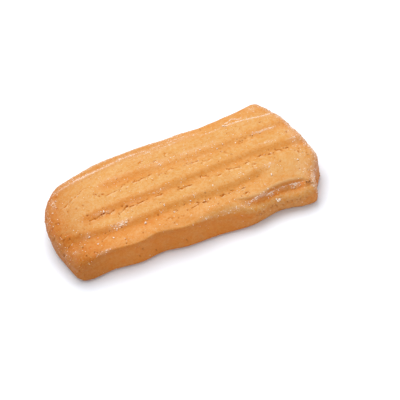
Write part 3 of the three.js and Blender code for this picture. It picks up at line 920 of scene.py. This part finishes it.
def noise(tree, place, size, detail=3.0, roughness=0.55):
    """Noise between 0 and 1 with features about `size` millimetres across."""
    return add_node(tree, "ShaderNodeTexNoise", {
        "Vector": place, "Scale": 1 / (size * MM), "Detail": detail, "Roughness": roughness,
    }).outputs["Fac"]


def dots(tree, place, spacing, edge, core, channel, share):
    """Round dots, 0 to 1, in the cells that a random share picks: 1 within `core` of the cell's
    middle and 0 past `edge`, both in shares of the spacing in millimetres."""
    cells = add_node(tree, "ShaderNodeTexVoronoi", {
        "Vector": place, "Scale": 1 / (spacing * MM), "Randomness": 1.0})
    pick = add_node(tree, "ShaderNodeSeparateColor", {"Color": cells.outputs["Color"]})
    kept = joined(tree, "LESS_THAN", pick.outputs[channel], share)
    return joined(tree, "MULTIPLY", ranged(tree, cells.outputs["Distance"], edge, core), kept)


def new_group(name, setting, default, build):
    """A shader node group with a place and one float setting, which puts out what `build` gives
    for its tree and those two sockets: values by name."""
    group = bpy.data.node_groups.new(name, "ShaderNodeTree")
    group.interface.new_socket("Place", in_out="INPUT", socket_type="NodeSocketVector")
    group.interface.new_socket(setting, in_out="INPUT",
                               socket_type="NodeSocketFloat").default_value = default
    start = group.nodes.new("NodeGroupInput")
    values = build(group, start.outputs["Place"], start.outputs[setting])
    for value in values:
        group.interface.new_socket(value, in_out="OUTPUT", socket_type="NodeSocketFloat")
    end = group.nodes.new("NodeGroupOutput")
    for value, socket in values.items():
        group.links.new(socket, end.inputs[value])
    return group


def baked_mottle(tree, place, speck_share):
    """Uneven baking: wide blotches, finer mottling and small toasted specks, each 0 to 1."""
    return {"Blotch": ranged(tree, noise(tree, place, 11.0), 0.35, 0.68),
            "Mottle": ranged(tree, noise(tree, place, 2.4, 4.0), 0.36, 0.68),
            "Speck": dots(tree, place, 1.3, 0.32, 0.1, "Red", speck_share)}


def crumb_grain(tree, place, coarse):
    """Height of the fine crumb: grain at two sizes, less pinholes where a cell is picked. Pale
    goes from 0 in the dips of the grain to 1 on its tops."""
    pinhole = dots(tree, place, 0.85, 0.3, 0.12, "Green", 0.16)
    large = joined(tree, "MULTIPLY", noise(tree, place, 0.9, 3.0, 0.6), coarse, clamp=False)
    total = joined(tree, "ADD", noise(tree, place, 0.35, 3.0, 0.6), large, clamp=False)
    return {"Height": joined(tree, "SUBTRACT", total, pinhole, clamp=False),
            "Pinhole": pinhole, "Pale": ranged(tree, total, 0.78, 1.22)}


def flour_dust(tree, place, amount):
    """Flour on the crust from how much lies there: fine specks that grow with it, drawn out a
    little along X, and a thin veil between them, each 0 to 1."""
    drawn = add_node(tree, "ShaderNodeVectorMath", {0: place, 1: (0.55, 1, 1)},
                     operation="MULTIPLY").outputs[0]
    share = joined(tree, "MULTIPLY", amount, 0.36, clamp=False)
    total = joined(tree, "ADD", share, noise(tree, drawn, 0.42, 3.0, 0.65), clamp=False)
    patchy = ranged(tree, noise(tree, drawn, 1.5, 3.0), 0.3, 0.65, 0.25, 1)
    return {"Speck": ranged(tree, total, 0.76, 0.92),
            "Veil": joined(tree, "MULTIPLY", amount, patchy)}


# Shared effects: what builds each group, its one setting and the setting's default
EFFECTS = {"Baked mottle": (baked_mottle, "Speck Share", 0.3),
           "Crumb grain": (crumb_grain, "Coarse", 1.0),
           "Flour dust": (flour_dust, "Amount", 0.0)}


def effect(tree, name, place, value):
    """A shared effect placed in a material, with its own value for the setting: its outputs."""
    build, setting, default = EFFECTS[name]
    group = bpy.data.node_groups.get(name) or new_group(name, setting, default, build)
    return add_node(tree, "ShaderNodeGroup", {"Place": place, setting: value},
                    node_tree=group).outputs


def new_material(name):
    """A material with only a Principled shader: its tree, shader and object coordinates."""
    material = bpy.data.materials.new(name)
    material.use_nodes = True
    tree = material.node_tree
    tree.nodes.clear()
    shader = tree.nodes.new("ShaderNodeBsdfPrincipled")
    output = tree.nodes.new("ShaderNodeOutputMaterial")
    tree.links.new(shader.outputs["BSDF"], output.inputs["Surface"])
    place = add_node(tree, "ShaderNodeTexCoord").outputs["Object"]
    return material, tree, shader, place


def bumped(tree, shader, height, depth, strength):
    """Feeds the shader a bump of the given depth in millimetres."""
    bump = add_node(tree, "ShaderNodeBump", {
        "Height": height, "Distance": depth * MM, "Strength": strength})
    tree.links.new(bump.outputs["Normal"], shader.inputs["Normal"])


def crust_material(colours):
    """Baked crust: golden with paler blotches and toasted specks, richer in the grooves, browner
    at edges and sides, paler beside the tears and orange in them, dark pores, patchy flour. The
    rich grooves are partly painted shade, and painted shade also darkens the crease above the
    side roll and the walls just under the shoulder; the pale near sides of the tears are partly
    painted light, and the flank above the crease is painted light."""
    material, tree, shader, place = new_material("Baked crust")
    mask = {name: add_node(tree, "ShaderNodeAttribute", attribute_name=name).outputs["Fac"]
            for name in ("baked", "torn", "lip", "pore", "flour", "brown", "rough", "valley")}
    mottle = effect(tree, "Baked mottle", place, 0.3)
    grain = effect(tree, "Crumb grain", place, 1.0)
    dust = effect(tree, "Flour dust", place, mask["flour"])
    part = lambda value, share: joined(tree, "MULTIPLY", value, share)
    uneven = ranged(tree, noise(tree, place, 3.4, 4.0), 0.25, 0.7, 0.72, 1.0)
    crumb = blended(tree, grain["Pale"], colours.grain_dip, colours.grain_top)
    dusted = joined(tree, "MAXIMUM", part(dust["Speck"], 0.8), part(dust["Veil"], 0.3))

    # From the plain crust up: where each layer shows, its colour, and how it is laid on
    layers = (
        (part(mottle["Blotch"], 0.55), colours.pale, "MIX"),
        (part(mottle["Mottle"], 0.32), colours.toasted, "MIX"),
        # Groove colour: partly painted shade in the grooves, partly the crust's own richer colour
        (part(mask["valley"], 0.85), colours.valley, "MIX"),
        # Browned edges and sides, and painted shade in the fold and the -X grooves
        (part(mask["brown"], uneven), colours.brown, "MIX"),
        (part(mottle["Speck"], 0.4), colours.toasted, "MIX"),
        # Darker tint on the most baked ends, and painted shade in the fold, the -X grooves and just
        # under the shoulder
        (mask["baked"], colours.baked, "MULTIPLY"),
        (ranged(tree, mask["rough"], 0.1, 0.7, 0.75, 1.0), crumb, "MULTIPLY"),
        (part(grain["Pinhole"], 0.6), colours.tear, "MIX"),
        # Pale lip colour, partly painted light on the tears' near sides and painted light on the
        # flank above the crease
        (ranged(tree, mask["lip"], 0.15, 0.8, 0, 0.6), colours.lip, "MIX"),
        (ranged(tree, mask["torn"], 0.04, 0.32, 0, 0.95), colours.tear, "MIX"),
        (ranged(tree, mask["pore"], 0.12, 0.8, 0, 0.85), colours.pore, "MIX"),
        (dusted, colours.flour, "MIX"),
    )
    colour = colours.crust
    for shows, over, blend in layers:
        colour = blended(tree, shows, colour, over, blend)
    tree.links.new(colour, shader.inputs["Base Color"])

    dull = ranged(tree, mottle["Mottle"], 0, 1, 0.50, 0.66)
    tree.links.new(joined(tree, "MAXIMUM", dull, ranged(tree, dusted, 0, 0.6, 0, 0.9)),
                   shader.inputs["Roughness"])
    shader.inputs["Specular IOR Level"].default_value = 0.15
    bumped(tree, shader, grain["Height"], 0.12, 0.7)
    return material


def flour_material(colours):
    """Baked-on flour: near white, warmed a little in patches, dull and powdery."""
    material, tree, shader, place = new_material("Flour")
    grain = effect(tree, "Crumb grain", place, 0.4)
    warm = ranged(tree, noise(tree, place, 1.7), 0.3, 0.75, 0, 0.6)
    tree.links.new(blended(tree, warm, colours.flour_grain, colours.flour),
                   shader.inputs["Base Color"])
    shader.inputs["Roughness"].default_value = 0.92
    shader.inputs["Specular IOR Level"].default_value = 0.2
    bumped(tree, shader, grain["Height"], 0.04, 0.4)
    return material


def crumb_material(colours):
    """Loose crumb: the crust's colours without its skin, a little paler and rough."""
    material, tree, shader, place = new_material("Loose crumb")
    mottle = effect(tree, "Baked mottle", place, 0.5)
    grain = effect(tree, "Crumb grain", place, 0.6)
    colour = blended(tree, mottle["Mottle"], colours.crust, colours.pale)
    colour = blended(tree, joined(tree, "MULTIPLY", mottle["Blotch"], 0.5), colour,
                     colours.toasted)
    tree.links.new(colour, shader.inputs["Base Color"])
    shader.inputs["Roughness"].default_value = 0.8
    bumped(tree, shader, grain["Height"], 0.06, 0.5)
    return material


def floor_material(colour):
    """Plain pale card with a faint tooth."""
    material, tree, shader, place = new_material("Pale card")
    shader.inputs["Base Color"].default_value = (*colour, 1.0)
    shader.inputs["Roughness"].default_value = 0.75
    bumped(tree, shader, noise(tree, place, 0.6), 0.01, 0.1)
    return material


# ---------------------------------------------------------------------------------------------
# What a user can change
# ---------------------------------------------------------------------------------------------

def length(name, millimetres, description):
    """A length property with its default given in millimetres."""
    return FloatProperty(name=name, description=description, default=millimetres * MM, min=0.0,
                         unit="LENGTH", subtype="DISTANCE", precision=5)


def angle(name, degrees, description):
    """An angle property with its default given in degrees."""
    return FloatProperty(name=name, description=description, default=math.radians(degrees),
                         subtype="ANGLE")


def plain(name, default, description, least=0.0):
    """A property without a unit."""
    return FloatProperty(name=name, description=description, default=default, min=least)


def number(name, default, description, least=0):
    """A whole number."""
    return IntProperty(name=name, description=description, default=default, min=least, max=8000)


def colour(name, rgb, description, most=1.0):
    """A colour or tint property with a linear default."""
    return FloatVectorProperty(name=name, description=description, default=rgb, size=3, min=0.0,
                               max=most, subtype="COLOR")


class BiscuitForm(bpy.types.PropertyGroup):
    """Sizes of the biscuit."""

    crown_height: length("Crown height", 13.2, "Underside to the top of the crown")
    near_side_height: length("Near side height", 10.2, "Top of the side wall at -Y")
    far_side_height: length("Far side height", 9.4, "Top of the side wall at +Y")
    end_drop: length("End drop", 1.2, "How far the crown falls toward both ends")
    bend: plain("Bend", 2.2, "Exponent of the crown across the width", 1.0)
    shoulder_near: length("Near shoulder", 0.4, "Radius of the near shoulder")
    shoulder_near_soft: length("Softer near shoulder", 3.8, "Added to it on the +X half")
    near_lean: length("Near lean", 0.6, "How far the near wall leans in at its top")
    shoulder_far: length("Far shoulder", 3.4, "Radius of the far shoulder")
    shoulder_left: length("Left shoulder", 4.2, "Radius of the shoulder at the -X end")
    shoulder_right: length("Right shoulder", 1.8, "Radius of the shoulder at the +X end")
    bottom_round: length("Foot radius", 1.5, "Radius under the foot of the side")
    corner_ease: length("Corner ease", 3.2, "Rim length over which the roundings change")
    roll_from: length("Roll start", 10.0, "Distance along +X where the side roll starts")
    roll_full: length("Roll full", 24.0, "Distance along +X where the roll is fully formed")
    roll_fade: length("Roll fade", 32.0, "Distance along +X where the roll narrows again")
    roll_inset: length("Roll inset", 1.95, "From the outline in to the crease")
    roll_swell: length("Roll swell", 1.6, "How much wider the roll is near the +X end")
    roll_arc_reach: plain("Roll arc", 1.4, "Half width of its arc by its way in", 0.1)
    roll_crease_height: length("Crease height", 8.5, "Height of the crease above the roll")
    roll_crest_height: length("Roll crest height", 8.6, "Height of the roll's top")
    roll_widest_height: length("Roll widest height", 5.6, "Height where the roll is widest")
    roll_flank: length("Roll flank", 0.6, "Width of the steep flank above the crease")
    slump: length("Slump", 1.1, "How much lower the corner at -X, -Y lies")
    slump_round: length("Slump rounding", 1.6, "How much softer the near shoulder gets there")


class BiscuitRelief(bpy.types.PropertyGroup):
    """Fine relief of the crust."""

    seed: number("Seed", 7, "Start of every random draw")
    tear_half_width: length("Tear half width", 0.40, "Half the width of an open tear")
    tear_depth: length("Tear depth", 0.65, "Depth of an open tear")
    lip_height: length("Lip height", 0.2, "How far the crust curls up beside a tear")
    pore_depth: length("Pore depth", 0.38, "Depth of a pore")
    pore_scale: plain("Pore scale", 1.0, "Size of the fine pores", 0.1)
    fine_pores: number("Fine pores", 110, "How many fine pores the crust has")
    lump_height: length("Lump height", 0.10, "Height of the soft lumps")
    grain_height: length("Grain height", 0.022, "Height of the fine grain")
    flake_height: length("Flake height", 0.13, "Height of the flakes at the rough ends")
    flour_height: length("Flour thickness", 0.05, "Thickness of a patch of flour")


class BiscuitBits(bpy.types.PropertyGroup):
    """Flour grains and crumbs that lie on the crust."""

    flour_grains: number("Flour grains", 4200, "How many fine grains of flour", 1)
    flour_small: length("Smallest grain", 0.06, "Radius of the smallest flour grain")
    flour_large: length("Largest grain", 0.17, "Radius of the largest flour grain")
    crumbs: number("Crumbs", 420, "How many small crumbs", 1)
    crumb_small: length("Smallest crumb", 0.09, "Radius of the smallest crumb")
    crumb_large: length("Largest crumb", 0.26, "Radius of the largest crumb")


class BiscuitColours(bpy.types.PropertyGroup):
    """Colours of the biscuit and its stage."""

    crust: colour("Crust", (0.562, 0.288, 0.084), "Main golden crust")
    pale: colour("Pale crust", (0.615, 0.345, 0.126), "Paler blotches of the crust")
    toasted: colour("Toasted", (0.52, 0.205, 0.042), "Toasted mottling and specks")
    # Also laid on as painted shade in the crease above the roll and in the grooves on the -X half
    brown: colour("Browned sides", (0.61, 0.188, 0.020), "Browned edges and sides")
    # Partly painted shade: laid along the grooves, strongest on their steep near-facing sides, for
    # the shade and bounced light there, and partly the crust's own richer colour
    valley: colour("Groove", (0.56, 0.222, 0.04), "Richer crust along the grooves")
    tear: colour("Tear", (0.60, 0.225, 0.026), "Inside of the tears")
    lip: colour("Lip", (0.72, 0.46, 0.23), "Crust curled up beside a tear")
    # Partly painted light: on the near side of each tear it stands for the light on the curled lip as
    # well as paler torn crust, and on the flank above the crease it takes out the shade
    pore: colour("Pore", (0.43, 0.125, 0.012), "Inside of the pores")
    # This tint also paints shade: the fold above the roll, the -X grooves and the top of the walls
    # just under the shoulder
    baked: colour("Darker baking", (0.78, 0.78, 0.80), "Tint of the most baked ends")
    grain_dip: colour("Grain dips", (0.965, 0.81, 0.50), "Tint in the dips of the grain", 2.0)
    grain_top: colour("Grain tops", (1.03, 1.17, 1.60), "Tint on the tops of the grain", 2.0)
    flour: colour("Baked flour", (0.75, 0.55, 0.42), "Flour baked into the crust")
    flour_grain: colour("Flour grain", (0.87, 0.73, 0.59), "Loose grains of flour")
    floor: colour("Floor", (0.83, 0.875, 0.94), "Pale floor")


class BiscuitStage(bpy.types.PropertyGroup):
    """Camera and light."""

    azimuth: angle("Azimuth", -7.99, "Camera's turn from -Y toward +X")
    elevation: angle("Elevation", 55.5, "Camera's height above the horizon")
    roll: angle("Roll", 14.07, "Turn of the picture counter-clockwise")
    field: angle("Field", 14.0, "Camera's field of view")
    view_width: length("View width", 124.16, "Width of the view at the target")
    key_power: plain("Key power", 0.8, "Watts of the soft key light")
    key_size: length("Key size", 200.0, "Side of the soft key light")
    sky: plain("Sky", 0.72, "Strength of the white surround")


def in_millimetres(*groups):
    """The groups' values by name, with their lengths in millimetres."""
    values = {}
    for group in groups:
        for prop in group.bl_rna.properties:
            if prop.identifier not in ("rna_type", "name"):
                value = getattr(group, prop.identifier)
                values[prop.identifier] = value / MM if prop.unit == "LENGTH" else value
    return SimpleNamespace(**values)


GROUPS = {"biscuit_form": BiscuitForm, "biscuit_relief": BiscuitRelief,
          "biscuit_bits": BiscuitBits, "biscuit_colours": BiscuitColours,
          "biscuit_stage": BiscuitStage}


# ---------------------------------------------------------------------------------------------
# Operators
# ---------------------------------------------------------------------------------------------

class BISCUIT_OT_crust(bpy.types.Operator):
    """Build the crust in place of the plain solid"""

    bl_idname = "biscuit.crust"
    bl_label = "Build crust"
    bl_options = {"REGISTER", "UNDO"}

    def execute(self, context):
        scene = context.scene
        shape = in_millimetres(scene.biscuit_form, scene.biscuit_relief)
        form = make_form(shape)

        # The plain form and the solid share one frame: both are centred by their boxes
        low, high = (np.array(corner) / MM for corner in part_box(NODE))
        middle = (form.points.min(axis=0) + form.points.max(axis=0)) / 2
        shift = (low + high) / 2 - middle
        shift[2] = low[2] - form.points[:, 2].min()

        points, masks = relieve(shape, form)
        crust = put_mesh("crust", points + shift, form.quads.tolist() + form.fan.tolist(),
                         crust_material(scene.biscuit_colours), masks)
        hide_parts(NODE)
        return {"FINISHED"}


class BISCUIT_OT_flour(bpy.types.Operator):
    """Scatter grains and lumps of flour over the crust"""

    bl_idname = "biscuit.flour"
    bl_label = "Scatter flour"
    bl_options = {"REGISTER", "UNDO"}

    seed_step = 100  # keeps this piece's random draws apart from the others'
    stray_on_top, stray_anywhere = 0.013, 0.003  # grains that lie where no flour was dusted
    flatten = 0.45
    knot = 5  # grains in a larger lump

    def execute(self, context):
        scene = context.scene
        bits = in_millimetres(scene.biscuit_bits)
        rng = np.random.default_rng(scene.biscuit_relief.seed + self.seed_step)
        points, normals, quads, flour = read_surface("crust", "flour")
        stray = self.stray_on_top * smooth(0.1, 0.5, normals[:, 2]) + self.stray_anywhere
        weight = (flour ** 2 + stray) * smooth(0.3, 1.0, points[:, 2])
        lying, facing = drawn_places(points, normals, quads, weight, bits.flour_grains, rng)
        radii = mix(bits.flour_small, bits.flour_large, rng.uniform(0, 1, len(lying)) ** 2)

        # A larger lump is a knot of grains round one spot of the top
        top = np.flatnonzero(normals[:, 2] > 0.5)
        for x, y, radius in FLOUR_LUMPS:
            at = top[nearest(points[top], x, y)]
            spots = points[at] + rng.normal(size=(self.knot, 3)) * radius * 0.42
            lying = np.concatenate([lying, spots])
            facing = np.concatenate([facing, np.repeat(normals[at][None], self.knot, axis=0)])
            radii = np.concatenate([radii, radius * rng.uniform(0.4, 0.75, self.knot)])
        put_mesh("flour", *scattered_grains(lying, facing, radii, self.flatten, rng),
                 flour_material(scene.biscuit_colours))
        return {"FINISHED"}


class BISCUIT_OT_crumbs(bpy.types.Operator):
    """Scatter small crumbs over the rough ends and beside the tears"""

    bl_idname = "biscuit.crumbs"
    bl_label = "Scatter crumbs"
    bl_options = {"REGISTER", "UNDO"}

    seed_step = 200
    anywhere = 0.02  # crumbs that lie where the crust is smooth
    flatten = 0.35

    def execute(self, context):
        scene = context.scene
        bits = in_millimetres(scene.biscuit_bits)
        rng = np.random.default_rng(scene.biscuit_relief.seed + self.seed_step)
        points, normals, quads, rough = read_surface("crust", "rough")
        above_ground = smooth(0.6, 1.6, points[:, 2])
        weight = (np.maximum(0, rough - 0.2) ** 2 + self.anywhere) * above_ground
        places, facing = drawn_places(points, normals, quads, weight, bits.crumbs, rng)
        radii = mix(bits.crumb_small, bits.crumb_large, rng.uniform(0, 1, len(places)) ** 2.5)
        put_mesh("crumbs", *scattered_grains(places, facing, radii, self.flatten, rng),
                 crumb_material(scene.biscuit_colours))
        return {"FINISHED"}


class BISCUIT_OT_stage(bpy.types.Operator):
    """Lay the pale floor and set the soft light and the camera"""

    bl_idname = "biscuit.stage"
    bl_label = "Set stage"
    bl_options = {"REGISTER", "UNDO"}

    floor_half = 1.5  # half the floor's side, metres
    key_place = (0.008, 0.08, 0.285)
    target = (0.00063, -0.00202, 0.006)  # point of the biscuit that the camera is set on
    aside = (0.00528, -0.00217)  # how far right of and above it the view's middle lies

    def execute(self, context):
        scene = context.scene
        stage = scene.biscuit_stage

        half = self.floor_half
        mesh = bpy.data.meshes.new("floor")
        mesh.from_pydata([(-half, -half, 0), (half, -half, 0), (half, half, 0), (-half, half, 0)],
                         [], [(0, 1, 2, 3)])
        mesh.materials.append(floor_material(scene.biscuit_colours.floor))
        new_object("floor", mesh)

        world = bpy.data.worlds.new("White surround")
        world.use_nodes = True
        sky = world.node_tree.nodes["Background"]
        sky.inputs["Color"].default_value = (1.0, 1.0, 1.0, 1.0)
        sky.inputs["Strength"].default_value = stage.sky
        scene.world = world

        light = bpy.data.lights.new("key", "AREA")
        light.energy = stage.key_power
        light.size = stage.key_size
        key = new_object("key", light)
        key.location = self.key_place
        key.rotation_euler = (-Vector(self.key_place)).to_track_quat("-Z", "Y").to_euler()

        data = bpy.data.cameras.new("camera")
        data.angle = stage.field
        data.clip_start, data.clip_end = 0.01, 20.0
        a, e, r = stage.azimuth, stage.elevation, stage.roll
        back = Vector((math.sin(a) * math.cos(e), -math.cos(a) * math.cos(e), math.sin(e)))
        level = Vector((0, 0, 1)).cross(back).normalized()
        rise = back.cross(level)
        right = math.cos(r) * level - math.sin(r) * rise
        up = math.sin(r) * level + math.cos(r) * rise
        distance = stage.view_width / 2 / math.tan(stage.field / 2)
        place = Vector(self.target) + back * distance + right * self.aside[0] + up * self.aside[1]
        camera = new_object("camera", data)
        camera.matrix_world = Matrix((
            (right.x, up.x, back.x, place.x), (right.y, up.y, back.y, place.y),
            (right.z, up.z, back.z, place.z), (0, 0, 0, 1)))
        scene.camera = camera
        scene.view_settings.view_transform = "Standard"
        return {"FINISHED"}


class BISCUIT_PT_panel(bpy.types.Panel):
    """Lists the biscuit's pieces and settings."""

    bl_idname = "BISCUIT_PT_panel"
    bl_label = "Shortbread biscuit"
    bl_space_type = "VIEW_3D"
    bl_region_type = "UI"
    bl_category = "Biscuit"

    def draw(self, context):
        for operator in OPERATORS:
            self.layout.operator(operator.bl_idname)
        for scene_name, group in GROUPS.items():
            box = self.layout.box()
            box.label(text=group.__doc__)
            settings = getattr(context.scene, scene_name)
            for name in group.__annotations__:
                box.prop(settings, name)


OPERATORS = (BISCUIT_OT_crust, BISCUIT_OT_flour, BISCUIT_OT_crumbs, BISCUIT_OT_stage)
CLASSES = (*GROUPS.values(), *OPERATORS, BISCUIT_PT_panel)


def register():
    """Registers the classes and gives each scene its settings."""
    for cls in CLASSES:
        bpy.utils.register_class(cls)
    for scene_name, group in GROUPS.items():
        setattr(bpy.types.Scene, scene_name, PointerProperty(type=group))


def unregister():
    """Takes the settings and classes away again."""
    for scene_name in GROUPS:
        delattr(bpy.types.Scene, scene_name)
    for cls in reversed(CLASSES):
        bpy.utils.unregister_class(cls)


def main():
    """Builds every piece and the stage."""
    register()
    bpy.ops.biscuit.crust()
    bpy.ops.biscuit.flour()
    bpy.ops.biscuit.crumbs()
    bpy.ops.biscuit.stage()


if __name__ == "__main__":
    main()
